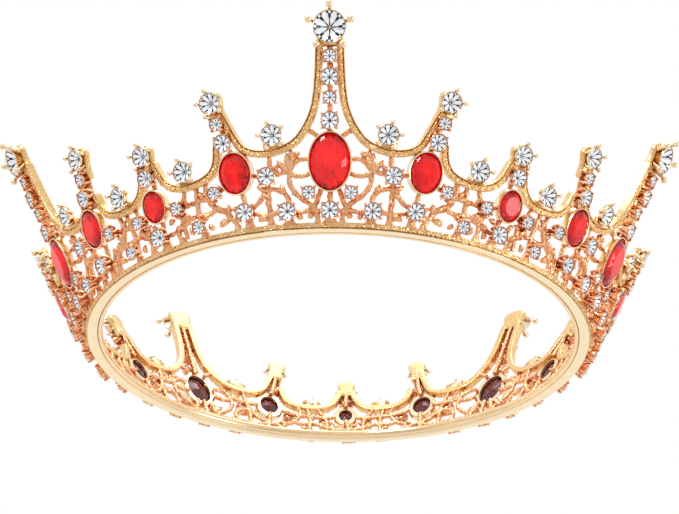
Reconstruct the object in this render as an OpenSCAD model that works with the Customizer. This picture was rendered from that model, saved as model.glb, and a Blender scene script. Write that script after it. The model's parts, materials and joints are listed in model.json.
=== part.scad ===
// Full-round crown: an openwork wall of gold-coloured castings that flares
// outwards from a plain hoop, set with oval red stones and round crystals.
// A place on the wall is given as [angle round the crown, distance up the slope],
// in degrees and mm. Depth is measured outwards from the wall's inner face.

/* [Base] */
// Bore of the inner hoop, across the circle
hoop_bore = 127.6; // [118:0.2:158]
// Thickness of the inner hoop
hoop_wall = 1.3; // [0.9:0.1:2]
// Height of the inner hoop
hoop_h = 1.9; // [1.4:0.1:2.4]
// Height of the textured border, along the slope
border_h = 2; // [1.9:0.1:3.5]
// Thickness of the border
border_wall = 1.5; // [1.3:0.1:2.6]

/* [Wall] */
// Angle of the wall from upright
flare = 27.5; // [20:0.5:32]
// Width of the scalloped rail
rail_w = 1.9; // [1.4:0.1:2.4]
// Depth of the scalloped rail
rail_d = 2.2; // [1.8:0.1:3]
// Width of the filigree strands
vine_w = 1.15; // [0.8:0.05:1.6]
// Depth of the filigree strands, on which the settings sit
vine_d = 1.2; // [1:0.05:1.6]

/* [Red stones] */
// Width of the tall spires' oval stone
ruby_tall_w = 10; // [9:0.25:10.5]
// Length of the tall spires' oval stone
ruby_tall_l = 14; // [13:0.25:14.5]
// Width of the middle spires' oval stone
ruby_mid_w = 8; // [7:0.25:8.5]
// Length of the middle spires' oval stone
ruby_mid_l = 10; // [9:0.25:10.5]
// Width of the low spires' oval stone
ruby_low_w = 6.5; // [6:0.25:7]
// Length of the low spires' oval stone
ruby_low_l = 8; // [7:0.25:8.5]
// Wall of the oval settings
bezel_wall = 0.4; // [0.35:0.05:0.7]

/* [Crystals] */
// Crystal at the top of the tall spires
tip_tall_d = 7.6; // [6:0.1:8]
// Crystal at the top of the middle spires
tip_mid_d = 5.1; // [4:0.1:5.5]
// Crystal at the top of the low spires
tip_low_d = 4.8; // [4:0.1:5.2]
// Crystals that stand in the dips of the rail
dip_d = 4.9; // [4:0.1:5.2]
// Large crystals in the openwork
large_d = 4.1; // [3.6:0.1:4.4]
// Small crystals in the openwork
small_d = 3; // [2.4:0.1:3.2]
// Wall of the round cups
cup_wall = 0.35; // [0.25:0.05:0.5]
// Radius of the ball at the end of a claw, as a share of its crystal's width
claw_ball = 0.125; // [0.1:0.005:0.14]

/* [Fits] */
// Space round each stone in its setting
stone_gap = 0.05; // [0.02:0.01:0.1]

/* [Hidden] */
$fn = 48;

gold = "#e9c07a";
pale_gold = "#f3dcae";
red_glass = "#d5141c";
clear_glass = "#dfe6ee";

// The crown repeats every 72 degrees: one tall, two middle and one low spire.
SECTION = 72;
SECTIONS = [0, 1, 2, 3, 4];
LOW_AT = 36;
SEAM_AT = 28;

BASE_STEP = 1.2;      // how far the wall's inner face stands out from the hoop
BASE_DROP = 0.4;      // how far the border's underside lies below the hoop's

hoop_r = hoop_bore / 2;
hoop_out = hoop_r + hoop_wall;
wall_r = hoop_out + BASE_STEP;

// A place on the wall: t round, s up the slope, n outwards from the inner face.
function wall_out(s, n) = wall_r + s * sin(flare) + n * cos(flare);
function wall_up(s, n) = s * cos(flare) - n * sin(flare);
function wall_pt(t, s, n) = [wall_out(s, n) * sin(t), -wall_out(s, n) * cos(t), wall_up(s, n)];
function wall_n(t) = [cos(flare) * sin(t), -cos(flare) * cos(t), -sin(flare)];
function unit(v) = v / norm(v);

// Local axes on the wall: X along it, Y up the slope, Z outwards, turned by lean.
module on_wall(t, s, lean = 0)
    rotate([0, 0, t])
        translate([0, -wall_out(s, 0), wall_up(s, 0)])
            rotate([90 + flare, 0, 0])
                rotate([0, 0, lean])
                    children();

// Each section of the crown, by number.
module every_section()
    for (k = SECTIONS)
        rotate([0, 0, k * SECTION])
            children();

// ---- Where the stones sit -------------------------------------------------

RUBY_TALL = [[0, 16.6]];
RUBY_MID = [[17.7, 15.5], [-17.7, 15.5]];
RUBY_LOW = [[36, 12.6]];
// Each of these rows is [angle, slope, lean].
TIP_TALL = [[0, 49, 0]];
TIP_MID = [[20.4, 33.4, -12], [-20.4, 33.4, 12]];
TIP_LOW = [[36, 25.6, 0]];
DIP_TALL = [[10.2, 23.6, -14], [-10.2, 23.6, 14]];
DIP_LOW = [[28, 18.6, -8], [44, 18.6, 8]];
COLUMN_LARGE = [[0, 26.4, 0], [0, 36.9, 0], [19.1, 23.2, 0], [-19.1, 23.2, 0], [36, 19.9, 0]];
COLUMN_SMALL = [[0, 32, 0], [0, 42, 0], [19.8, 28.1, 0], [-19.8, 28.1, 0]];
FOOT_LARGE = [[0, 4.9, 0], [8.3, 4.9, 0], [-8.3, 4.9, 0], [35.2, 4.9, 0]];
SIDE_LARGE = [[11.7, 13.8, 0], [-11.7, 13.8, 0], [16.7, 5.8, 0], [-16.7, 5.8, 0]];
FOOT_SMALL = [[4, 9.2, 0], [-4, 9.2, 0], [27, 4.4, 0], [45, 4.4, 0]];
SIDE_SMALL = [[22.4, 11.7, 0], [-22.4, 11.7, 0], [31, 10.4, 0], [41, 10.4, 0]];

// ---- Settings and stones --------------------------------------------------

// Proportions of a crystal and its cup, as shares of the crystal's width.
PAVILION = 0.36;      // depth below the girdle
CROWN = 0.14;         // height above the girdle
TABLE = 0.29;         // radius of the flat top
CUP_STEM = 0.3;       // how far the girdle stands above the cup's back
STEM_MIN = 0.6;       // and the part of that which doesn't grow with the crystal
SMALL_UNDER = 4.5;    // crystals narrower than this stand on taller cups
SMALL_POST = 0.9;     // and this is how much taller those are
BACK_SHARE = 0.62;    // radius of the cup's back, as a share of its rim's
LIP = 0.2;            // how far the cup's rim stands above the girdle
CUP_EDGE = 0.3;       // depth of the cup's upright edge below the girdle

function girdle_n(d) = vine_d + CUP_STEM * d + STEM_MIN + (d < SMALL_UNDER ? SMALL_POST : 0);
function cup_r(d) = d / 2 + cup_wall;
function culet_n(d) = girdle_n(d) - PAVILION * d;

// Round cup: closed, narrow back and a conical seat for the stone's underside.
module cup(d)
    rotate_extrude()
        polygon([[0, vine_d], [BACK_SHARE * cup_r(d), vine_d], [cup_r(d), girdle_n(d) - CUP_EDGE],
            [cup_r(d), girdle_n(d) + LIP], [d / 2, girdle_n(d) + LIP], [d / 2, girdle_n(d)],
            [0, culet_n(d)]]);

module crystal(d)
    rotate_extrude()
        polygon([[0, culet_n(d) + stone_gap], [d / 2 - stone_gap, girdle_n(d) + stone_gap],
            [d / 2 - stone_gap, girdle_n(d) + LIP], [TABLE * d, girdle_n(d) + LIP + CROWN * d],
            [0, girdle_n(d) + LIP + CROWN * d]]);

// Claw: a short arm that leans out from the cup and ends in a ball.
CLAW_ARM = 0.22;      // length of the arm, as a share of the crystal's width
CLAW_FOOT = 0.07;     // radius of its foot, as a share of the same
CLAW_LEAN = 22;
BIG_CLAW_LEAN = 45;   // for a crystal wider than 6 mm, whose claws stand well clear
function claw_lean(d) = d > 6 ? BIG_CLAW_LEAN : CLAW_LEAN;
module claw(d, at)
    rotate([0, 0, at])
        translate([cup_r(d) + 0.05, 0, girdle_n(d) - 0.5])
            rotate([0, claw_lean(d), 0])
                rotate_extrude()
                    intersection() {
                        union() {
                            polygon([[0, 0], [CLAW_FOOT * d, 0], [0.8 * CLAW_FOOT * d, CLAW_ARM * d],
                                [0, CLAW_ARM * d]]);
                            translate([0, CLAW_ARM * d])
                                circle(r = claw_ball * d);
                        }
                        square(d);
                    }

module claw_cup(d) {
    cup(d);
    for (i = [0:4])
        claw(d, 90 + i * 72);
}

module cups(places, d)
    every_section()
        for (p = places)
            on_wall(p[0], p[1], p[2])
                cup(d);

module claw_cups(places, d)
    every_section()
        for (p = places)
            on_wall(p[0], p[1], p[2])
                claw_cup(d);

module crystals(places, d)
    every_section()
        for (p = places)
            on_wall(p[0], p[1], p[2])
                crystal(d);

// Oval outline with a flat for each facet of the stone.
OVAL_SIDES = 16;
function oval(w, l, sides = OVAL_SIDES) =
    [for (i = [0:sides - 1]) [w / 2 * cos(i * 360 / sides), l / 2 * sin(i * 360 / sides)]];

BEZEL_BACK = vine_d;
BEZEL_TOP = vine_d + 2.2;
RUBY_GIRDLE = vine_d + 1.6;

module bezel(w, l) {
    wide = 2 * bezel_wall;
    difference() {
        translate([0, 0, BEZEL_BACK])
            linear_extrude(BEZEL_TOP - BEZEL_BACK)
                polygon(oval(w + wide, l + wide));
        translate([0, 0, RUBY_GIRDLE - 0.5])
            linear_extrude(BEZEL_TOP)
                polygon(oval(w, l));
        translate([0, 0, -1])
            linear_extrude(BEZEL_TOP + 1)
                polygon(oval(w - 2.4, l - 2.4));
    }
}

// Faceted oval stone: table, crown, girdle and a shallow pavilion.
module ruby(w, l) {
    m = OVAL_SIDES;
    g = 2 * stone_gap;
    rings = [[0.35, BEZEL_BACK + 0.1], [1, RUBY_GIRDLE - 0.5 + stone_gap], [1, BEZEL_TOP - 0.1],
        [0.62, BEZEL_TOP + 0.12 * w]];
    back = oval(w - 2.4 - g, l - 2.4 - g);
    pts = concat(
        [for (p = back) [0.45 * p[0], 0.45 * p[1], rings[0][1]]],
        [for (p = back) [p[0], p[1], rings[1][1]]],
        [for (r = [1:3]) for (p = oval((w - g) * rings[r][0], (l - g) * rings[r][0]))
            [p[0], p[1], rings[r][1]]]);
    faces = concat([[for (j = [0:m - 1]) j]],
        [for (r = [0:3]) for (j = [0:m - 1])
            [r * m + j, (r + 1) * m + j, (r + 1) * m + (j + 1) % m, r * m + (j + 1) % m]],
        [[for (j = [0:m - 1]) 4 * m + m - 1 - j]]);
    polyhedron(pts, faces, 4);
}

module bezels(places, w, l)
    every_section()
        for (p = places)
            on_wall(p[0], p[1])
                bezel(w, l);

module rubies(places, w, l)
    every_section()
        for (p = places)
            on_wall(p[0], p[1])
                ruby(w, l);

// ---- Strands of metal that run along the wall ------------------------------

function mirrored(path, at) = [for (p = path) [2 * at - p[0], p[1]]];

// Sweeps an outline along a path of places on the wall.
module sweep(route, outline) {
    count = len(route);
    m = len(outline);
    pts = [for (i = [0:count - 1])
        let (q = route[i], a = route[max(i - 1, 0)], b = route[min(i + 1, count - 1)],
            out = wall_n(q[0]), along = unit(wall_pt(b[0], b[1], 0) - wall_pt(a[0], a[1], 0)),
            side = unit(cross(out, along)))
        for (c = outline) wall_pt(q[0], q[1], 0) + side * c[0] + out * c[1]];
    faces = concat([[for (j = [0:m - 1]) j]],
        [for (i = [0:count - 2]) for (j = [0:m - 1])
            [i * m + j, (i + 1) * m + j, (i + 1) * m + (j + 1) % m, i * m + (j + 1) % m]],
        [[for (j = [0:m - 1]) count * m - 1 - j]]);
    polyhedron(pts, faces, 4);
}

// Solid shapes that the settings take up, cut out of the rail behind them.
SEAT_CUT = 6;
SEAT_SIDES = 10;
function cup_taper(d) = (1 - BACK_SHARE) * cup_r(d) / (girdle_n(d) - CUP_EDGE - vine_d);
function seat_r(d, up) = BACK_SHARE * cup_r(d) / cos(180 / SEAT_SIDES) + up * cup_taper(d);
module seat_for(places, d)
    for (p = places)
        on_wall(p[0], p[1], p[2])
            translate([0, 0, vine_d])
                cylinder(h = SEAT_CUT, r1 = seat_r(d, 0), r2 = seat_r(d, SEAT_CUT), $fn = SEAT_SIDES);

module oval_seat_for(places, w, l)
    for (p = places)
        on_wall(p[0], p[1])
            translate([0, 0, BEZEL_BACK])
                linear_extrude(SEAT_CUT)
                    polygon(oval(w + 2 * bezel_wall, l + 2 * bezel_wall));

module all_seats() {
    oval_seat_for(RUBY_TALL, ruby_tall_w, ruby_tall_l);
    oval_seat_for(RUBY_MID, ruby_mid_w, ruby_mid_l);
    oval_seat_for(RUBY_LOW, ruby_low_w, ruby_low_l);
    seat_for(TIP_TALL, tip_tall_d);
    seat_for(TIP_MID, tip_mid_d);
    seat_for(TIP_LOW, tip_low_d);
    seat_for(concat(DIP_TALL, DIP_LOW, [for (p = DIP_LOW) [p[0] - SECTION, p[1], p[2]]]), dip_d);
    seat_for(concat(COLUMN_LARGE, SIDE_LARGE), large_d);
    seat_for(concat(COLUMN_SMALL, SIDE_SMALL), small_d);
}

// ---- Rail ------------------------------------------------------------------

// From the top of a tall spire down through the dip and up a middle spire.
RAIL_TALL = [[1.7, 45.4], [1.8, 41], [2, 36], [2.4, 31.5], [3.1, 28], [4.3, 24.8], [6, 21.9],
    [8.3, 20.2], [11.2, 19.4], [14, 19.8], [16, 21.2], [17.2, 23.6], [18.3, 27.2], [19.4, 30.8]];
// From beside a middle spire's stone through the dip and up a low spire.
RAIL_LOW = [[20.8, 22.9], [21.4, 19.2], [22.7, 16.7], [24.7, 15.4], [27, 14.9], [29.6, 15],
    [31.6, 15.9], [33.1, 17.8], [34, 20.4], [34.7, 23.2]];

PAD_BACK = 0.2;
PAD_BEVEL = 0.35;
// Pad that carries a claw cup where the rail meets it.
module pad(t, s, w, l, lean = 0)
    on_wall(t, s, lean)
        hull() {
            translate([-w / 2, -l / 2, PAD_BACK])
                cube([w, l, 0.6]);
            translate([PAD_BEVEL - w / 2, PAD_BEVEL - l / 2, PAD_BACK])
                cube([w - 2 * PAD_BEVEL, l - 2 * PAD_BEVEL, rail_d - 0.35]);
        }

// Plate behind the top of a spire: a waist that joins the rails and a broader head.
PLATE_BACK = 0.15;
PLATE_DEPTH = 1.7;
module plate(place, waist, head, up, down) {
    side = [[waist / 2, -down], [waist / 2, -0.3 * down], [head / 2, 0.4 * up], [0.35 * head, up]];
    on_wall(place[0], place[1], place[2])
        translate([0, 0, PLATE_BACK])
            linear_extrude(PLATE_DEPTH)
                polygon(concat(side, [for (i = [3:-1:0]) [-side[i][0], side[i][1]]]));
}

// A rail is crowned: highest along its middle.
RAIL_CROWN = 0.45;
RAIL_OUTLINE = [[-rail_w / 2, 0], [rail_w / 2, 0], [rail_w / 2, rail_d - RAIL_CROWN],
    [0, rail_d], [-rail_w / 2, rail_d - RAIL_CROWN]];

module rail_shapes() {
    sweep(RAIL_TALL, RAIL_OUTLINE);
    sweep(mirrored(RAIL_TALL, 0), RAIL_OUTLINE);
    sweep(RAIL_LOW, RAIL_OUTLINE);
    sweep(mirrored(RAIL_LOW, LOW_AT), RAIL_OUTLINE);
    sweep(mirrored(RAIL_LOW, 0), RAIL_OUTLINE);
    plate(TIP_TALL[0], 6.4, 7.6, 3.6, 4.6);
    for (p = TIP_MID)
        plate(p, 4.1, 5.4, 2.6, 5.8);
    plate(TIP_LOW[0], 4.1, 5.2, 2.5, 4.3);
    pad(10.7, 21, 3.6, 2.2, -6);
    pad(-10.7, 21, 3.6, 2.2, 6);
    pad(28, 16, 3.4, 1.8);
    pad(-28, 16, 3.5, 1.8);
    pad(44, 16, 3.5, 1.8);
}

// Keeps a section between its two seams.
module within_seams()
    intersection() {
        union()
            children();
        rotate([0, 0, -SEAM_AT - 90])
            rotate_extrude(angle = SECTION, $fn = 40)
                translate([hoop_r - 5, -5])
                    square([60, 80]);
    }

// ---- Filigree ----------------------------------------------------------------

// Stems carry the settings and reach their backs. Ties are thinner and run through the stems.
STEMS_TALL = [
    [[7.6, 15.2], [7.8, 12], [6.9, 9.4], [4.9, 7.3], [3.2, 5.6], [2.6, 4.2], [2.6, border_h]],
    [[8.4, border_h], [8.4, 8.4]],
    [[12.1, border_h], [12.1, 11], [11.3, 19]],
    [[16.8, border_h], [16.8, 6], [17.5, 11.4]],
    [[24.5, 15.2], [24.8, 11.5], [23.8, 8.6], [21.4, 6.6], [19.4, 4.6], [19.4, border_h]],
    [[27, border_h], [27, 8], [26.9, 14.8]]];
STEMS_LOW = [[[31.4, border_h], [31.4, 6], [31, 12.4]]];
TIES_TALL = [
    [[4, 17.3], [6.2, 17.1], [8, 15.6], [11.6, 14], [14.8, 14.4]],
    [[3.7, 13.6], [5.8, 13.4], [7.5, 14.2]],
    [[2.2, 23], [4.6, 25.2]],
    [[1.9, 10.2], [2.5, 7.4], [3.1, 6]],
    [[8.5, 8.2], [9.6, 10.2], [12.1, 10.8], [13.7, 8.8], [16.9, 7.2]]];
// Ties that run past the seam, to the low spire's own stones.
TIE_DIP = [[20.6, 12.8], [22.4, 11.8], [25, 10.9], [29.5, 10.6], [33.6, 10.9]];
TIE_LOW = [[23.6, 8.5], [26, 7.3], [29.4, 6.9], [31.4, 5.6], [33.4, 5], [36, 4.7]];
TIE_FOOT = [[20.6, 5], [16.7, 5.4], [12.2, 4.4], [8.3, 4.6], [4, 4.9], [0, 4.3]];
// Strands on a spire's own axis.
STEMS_AXIS = [[[0, 22.6], [0, 46]], [[0, border_h], [0, 10.6]],
    [[18.3, 20], [19.1, 23.5], [20.2, 31.4]],
    [[-18.3, 20], [-19.1, 23.5], [-20.2, 31.4]],
    [[36, 16], [36, 24]], [[35.2, border_h], [35.2, 5.4], [35.8, 9.6]]];

function all_mirrored(paths, at) = [for (v = paths) mirrored(v, at)];

// Outline of a strand between two depths, narrower at the front.
function vine_outline(inner, outer) = [[-vine_w / 2, inner], [vine_w / 2, inner],
    [0.36 * vine_w, outer], [-0.36 * vine_w, outer]];

module stems(paths)
    for (v = paths)
        sweep(v, vine_outline(0.3, vine_d));

module ties(paths)
    for (v = paths)
        sweep(v, [[-vine_w / 2, 0.5], [vine_w / 2, 0.5], [0, vine_d - 0.1]]);

// A path carried on past its last place as its own mirror image.
function there_and_back(path, at) = concat(path,
    [for (i = [len(path) - 2:-1:0]) [2 * at - path[i][0], path[i][1]]]);

module filigree_shapes() {
    stems(STEMS_TALL);
    stems(all_mirrored(STEMS_TALL, 0));
    stems(STEMS_LOW);
    stems(all_mirrored(STEMS_LOW, LOW_AT));
    stems(STEMS_AXIS);
    ties(TIES_TALL);
    ties(all_mirrored(TIES_TALL, 0));
    ties([TIE_DIP, mirrored(TIE_DIP, LOW_AT), mirrored(TIE_DIP, 0)]);
    ties([there_and_back(TIE_LOW, LOW_AT), mirrored(TIE_LOW, 0)]);
    ties([there_and_back(TIE_FOOT, 0)]);
}

// One cast section: rail and filigree in one piece, cut where the settings sit.
module casting(k)
    rotate([0, 0, k * SECTION])
        color(gold)
            within_seams() {
                difference() {
                    rail_shapes();
                    all_seats();
                }
                filigree_shapes();
            }

module casting_front() casting(0);
module casting_right_front() casting(1);
module casting_right_back() casting(2);
module casting_left_back() casting(3);
module casting_left_front() casting(4);

// ---- Base --------------------------------------------------------------------

BASE_SIDES = 240;

module inner_hoop()
    color(pale_gold)
        difference() {
            cylinder(h = hoop_h, r = hoop_out, $fn = BASE_SIDES);
            translate([0, 0, -1])
                cylinder(h = hoop_h + 2, r = hoop_r, $fn = BASE_SIDES);
        }

// The border's outer face runs down the slope to its flat underside.
module border_band() {
    foot = (border_wall * sin(flare) - BASE_DROP) / cos(flare);
    color(gold)
        rotate_extrude($fn = BASE_SIDES)
            polygon([[hoop_out, 0], [wall_r, -BASE_DROP], [wall_out(foot, border_wall), -BASE_DROP],
                [wall_out(border_h, border_wall), wall_up(border_h, border_wall)],
                [wall_out(border_h, 0), wall_up(border_h, 0)], [hoop_out, hoop_h]]);
}

// ---- Settings and stones, by size ---------------------------------------------

module bezels_tall() color(pale_gold) bezels(RUBY_TALL, ruby_tall_w, ruby_tall_l);
module bezels_middle() color(pale_gold) bezels(RUBY_MID, ruby_mid_w, ruby_mid_l);
module bezels_low() color(pale_gold) bezels(RUBY_LOW, ruby_low_w, ruby_low_l);
module rubies_tall() color(red_glass) rubies(RUBY_TALL, ruby_tall_w, ruby_tall_l);
module rubies_middle() color(red_glass) rubies(RUBY_MID, ruby_mid_w, ruby_mid_l);
module rubies_low() color(red_glass) rubies(RUBY_LOW, ruby_low_w, ruby_low_l);
module tip_cups_tall() color(gold) claw_cups(TIP_TALL, tip_tall_d);
module tip_cups_middle() color(gold) claw_cups(TIP_MID, tip_mid_d);
module tip_cups_low() color(gold) claw_cups(TIP_LOW, tip_low_d);
module dip_cups_tall() color(gold) claw_cups(DIP_TALL, dip_d);
module dip_cups_low() color(gold) claw_cups(DIP_LOW, dip_d);
module tip_crystals_tall() color(clear_glass) crystals(TIP_TALL, tip_tall_d);
module tip_crystals_middle() color(clear_glass) crystals(TIP_MID, tip_mid_d);
module tip_crystals_low() color(clear_glass) crystals(TIP_LOW, tip_low_d);
module dip_crystals_tall() color(clear_glass) crystals(DIP_TALL, dip_d);
module dip_crystals_low() color(clear_glass) crystals(DIP_LOW, dip_d);
module column_cups_large() color(gold) cups(COLUMN_LARGE, large_d);
module column_cups_small() color(gold) cups(COLUMN_SMALL, small_d);
module column_crystals_large() color(clear_glass) crystals(COLUMN_LARGE, large_d);
module column_crystals_small() color(clear_glass) crystals(COLUMN_SMALL, small_d);
module foot_cups_large() color(gold) cups(FOOT_LARGE, large_d);
module foot_crystals_large() color(clear_glass) crystals(FOOT_LARGE, large_d);
module foot_cups_small() color(gold) cups(FOOT_SMALL, small_d);
module foot_crystals_small() color(clear_glass) crystals(FOOT_SMALL, small_d);
module side_cups_large() color(gold) cups(SIDE_LARGE, large_d);
module side_crystals_large() color(clear_glass) crystals(SIDE_LARGE, large_d);
module side_cups_small() color(gold) cups(SIDE_SMALL, small_d);
module side_crystals_small() color(clear_glass) crystals(SIDE_SMALL, small_d);

inner_hoop();
border_band();
casting_front();
casting_right_front();
casting_right_back();
casting_left_back();
casting_left_front();
bezels_tall();
bezels_middle();
bezels_low();
rubies_tall();
rubies_middle();
rubies_low();
tip_cups_tall();
tip_cups_middle();
tip_cups_low();
dip_cups_tall();
dip_cups_low();
tip_crystals_tall();
tip_crystals_middle();
tip_crystals_low();
dip_crystals_tall();
dip_crystals_low();
column_cups_large();
column_cups_small();
column_crystals_large();
column_crystals_small();
foot_cups_large();
foot_cups_small();
foot_crystals_large();
foot_crystals_small();
side_cups_large();
side_cups_small();
side_crystals_large();
side_crystals_small();
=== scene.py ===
"""A full-round crown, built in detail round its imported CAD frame."""
import bpy
import bmesh
import json
import math
import random
import numpy as np
from mathutils import Matrix, Vector


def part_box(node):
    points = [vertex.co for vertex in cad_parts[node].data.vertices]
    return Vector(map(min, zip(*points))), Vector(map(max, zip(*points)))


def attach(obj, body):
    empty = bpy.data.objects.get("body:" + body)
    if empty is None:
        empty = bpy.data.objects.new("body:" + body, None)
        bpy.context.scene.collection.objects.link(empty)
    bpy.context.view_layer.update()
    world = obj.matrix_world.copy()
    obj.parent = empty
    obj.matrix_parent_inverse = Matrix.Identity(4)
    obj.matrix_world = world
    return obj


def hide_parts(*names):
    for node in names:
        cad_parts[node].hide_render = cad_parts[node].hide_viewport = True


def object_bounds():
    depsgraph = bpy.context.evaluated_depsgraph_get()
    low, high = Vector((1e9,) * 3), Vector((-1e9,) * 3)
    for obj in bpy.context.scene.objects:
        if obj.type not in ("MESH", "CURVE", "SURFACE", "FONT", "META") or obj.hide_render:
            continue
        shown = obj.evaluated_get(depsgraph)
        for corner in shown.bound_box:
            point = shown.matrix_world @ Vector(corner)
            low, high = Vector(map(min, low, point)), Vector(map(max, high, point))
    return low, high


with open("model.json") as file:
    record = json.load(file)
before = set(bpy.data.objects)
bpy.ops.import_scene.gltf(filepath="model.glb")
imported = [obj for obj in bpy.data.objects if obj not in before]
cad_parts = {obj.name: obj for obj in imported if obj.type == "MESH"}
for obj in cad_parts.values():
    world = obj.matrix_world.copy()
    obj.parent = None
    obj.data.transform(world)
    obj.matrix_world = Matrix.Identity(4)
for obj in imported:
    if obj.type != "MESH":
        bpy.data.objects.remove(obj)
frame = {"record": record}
CAD_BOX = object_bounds()
random.seed(7)
MM = 0.001

# ---- The wall, as the CAD has it -------------------------------------------------
# A place on the wall is (t, s, n): degrees round the crown from the front, mm up the
# slope and mm out from the wall's inner face.

FLARE = math.radians(27.5)
HOOP_R = frame["record"]["mounts"][0]["dims"]["r_mm"]
HOOP_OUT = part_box("inner_hoop")[1][0] / MM
HOOP_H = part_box("inner_hoop")[1][2] / MM
WALL_R = HOOP_OUT + 1.2
FOOT_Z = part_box("border_band")[0][2] / MM
SECTIONS = {"front": 0, "right_front": 1, "right_back": 2, "left_back": 3, "left_front": 4}
SECTION_DEG = 72
LOW_AT = 36
SEAM_AT = 28
BORDER_H = 2.0
BORDER_WALL = 1.5
RAIL_W = 1.9
RAIL_D = 2.2
SEAT = 1.2


def wall(t, s, n):
    """Points on the wall, as rows of x, y, z in mm."""
    t, s, n = np.broadcast_arrays(np.radians(t), s, n)
    r = WALL_R + s * math.sin(FLARE) + n * math.cos(FLARE)
    z = s * math.cos(FLARE) - n * math.sin(FLARE)
    return np.stack([r * np.sin(t), -r * np.cos(t), z], -1)


def outward(t):
    """The wall's outward direction at each angle."""
    t = np.radians(t)
    c = math.cos(FLARE)
    return np.stack([c * np.sin(t), -c * np.cos(t), np.full_like(t, -math.sin(FLARE))], -1)


def place_matrix(t, s, lean=0.0):
    """Local axes on the wall: X along it, Y up the slope, Z outwards, turned by lean."""
    spot = Matrix.Translation((0, -(WALL_R + s * math.sin(FLARE)), s * math.cos(FLARE)))
    tilt = Matrix.Rotation(math.pi / 2 + FLARE, 4, "X")
    turn = Matrix.Rotation(math.radians(lean), 4, "Z")
    return Matrix.Rotation(math.radians(t), 4, "Z") @ spot @ tilt @ turn


def unit(v):
    return v / np.maximum(np.linalg.norm(v, axis=-1, keepdims=True), 1e-9)


def smooth_path(points, step):
    """A curve through the points (Catmull-Rom), as rows every step mm or so."""
    p = np.array(points, float)
    p = np.vstack([2 * p[0] - p[1], p, 2 * p[-1] - p[-2]])
    rows = []
    for i in range(1, len(p) - 2):
        a, b, c, d = p[i - 1:i + 3]
        gap = np.linalg.norm((c - b)[:2] * (1.35, 1.0))
        for u in np.arange(0, 1, 1 / max(2, round(gap / step))):
            rows.append(0.5 * (2 * b + (c - a) * u + (2 * a - 5 * b + 4 * c - d) * u ** 2
                               + (3 * b - a - 3 * c + d) * u ** 3))
    rows.append(p[-2])
    return np.array(rows)


def mirrored(path, at=0.0):
    return [(2 * at - p[0],) + tuple(p[1:]) for p in path]


# ---- Mesh helpers -------------------------------------------------------------------

class Build:
    """Gathers vertices and faces in mm, with a material number for each face."""

    def __init__(self):
        self.v, self.f, self.m, self.count = [], [], [], 0

    def add(self, verts, faces, mat=0):
        verts = np.asarray(verts, float).reshape(-1, 3)
        self.f += [tuple(i + self.count for i in face) for face in faces]
        self.m += [mat] * len(faces)
        self.v.append(verts)
        self.count += len(verts)

    def mesh(self, name):
        mesh = bpy.data.meshes.new(name)
        mesh.from_pydata((np.vstack(self.v) * MM).tolist(), [], self.f)
        mesh.polygons.foreach_set("material_index", self.m)
        mesh.update()
        return mesh


def grid_faces(rows, cols, closed_cols=True, closed_rows=False, caps=True):
    """Faces of a grid of points wound round a tube, with its ends capped."""
    faces = []
    for i in range(rows if closed_rows else rows - 1):
        a, b = i * cols, (i + 1) % rows * cols
        for j in range(cols if closed_cols else cols - 1):
            k = (j + 1) % cols
            faces.append((a + j, a + k, b + k, b + j))
    if caps and not closed_rows:
        faces.append(tuple(range(cols))[::-1])
        faces.append(tuple((rows - 1) * cols + j for j in range(cols)))
    return faces


def sweep(route, outline, scale=None):
    """Carries an outline (x across, n outwards) along a route on the wall."""
    t, s = route[:, 0], route[:, 1]
    lift = route[:, 2] if route.shape[1] > 2 else np.zeros(len(t))
    centre = wall(t, s, lift)
    along = unit(np.gradient(wall(t, s, 0.0), axis=0))
    out = outward(t)
    side = unit(np.cross(out, along))
    k = np.ones(len(t)) if scale is None else scale
    o = np.asarray(outline)
    return (centre[:, None] + side[:, None] * (o[None, :, :1] * k[:, None, None])
            + out[:, None] * o[None, :, 1:])


def revolve(profile, steps=40):
    """Turns a profile of (radius, height) about local Z, closed at both ends on the axis."""
    a = np.arange(steps) * 2 * math.pi / steps
    p = np.asarray(profile, float)
    pts = np.stack([p[:, None, 0] * np.cos(a), p[:, None, 0] * np.sin(a),
                    np.repeat(p[:, 1:], steps, 1)], -1)
    return pts.reshape(-1, 3), grid_faces(len(p), steps)


def moved(points, matrix):
    p = np.asarray(points, float).reshape(-1, 3)
    m = np.array(matrix)
    return p @ m[:3, :3].T + m[:3, 3]


def rounded(corners, radius, steps=3):
    """A closed outline with each corner rounded to the same radius."""
    c = np.array(corners, float)
    out = []
    for i in range(len(c)):
        a, b, d = c[i - 1], c[i], c[(i + 1) % len(c)]
        u, v = unit(a - b), unit(d - b)
        r = min(radius, 0.45 * np.linalg.norm(a - b), 0.45 * np.linalg.norm(d - b))
        for k in range(steps + 1):
            w = k / steps
            out.append(b + u * r * (1 - w) ** 2 + v * r * w ** 2)
    return out


def add_object(name, mesh, materials):
    for m in materials:
        mesh.materials.append(m)
    ob = bpy.data.objects.new(name, mesh)
    bpy.context.scene.collection.objects.link(ob)
    return ob


def shade(mesh, degrees=35):
    """Smooth shading, with edges sharper than the angle left crisp."""
    mesh.shade_smooth()
    ob = bpy.data.objects.new("tmp_shade", mesh)
    bm = bmesh.new()
    bm.from_mesh(mesh)
    limit = math.radians(degrees)
    for e in bm.edges:
        e.smooth = len(e.link_faces) == 2 and e.calc_face_angle(0) < limit
    bm.to_mesh(mesh)
    bm.free()
    bpy.data.objects.remove(ob)


def finish_piece(ob, slot, *nodes):
    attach(ob, "root")
    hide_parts(*nodes)


def baked(ob):
    """The mesh of an object with its modifiers applied, leaving the object's own behind."""
    deps = bpy.context.evaluated_depsgraph_get()
    return bpy.data.meshes.new_from_object(ob.evaluated_get(deps))


# ---- Materials -----------------------------------------------------------------------

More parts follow.
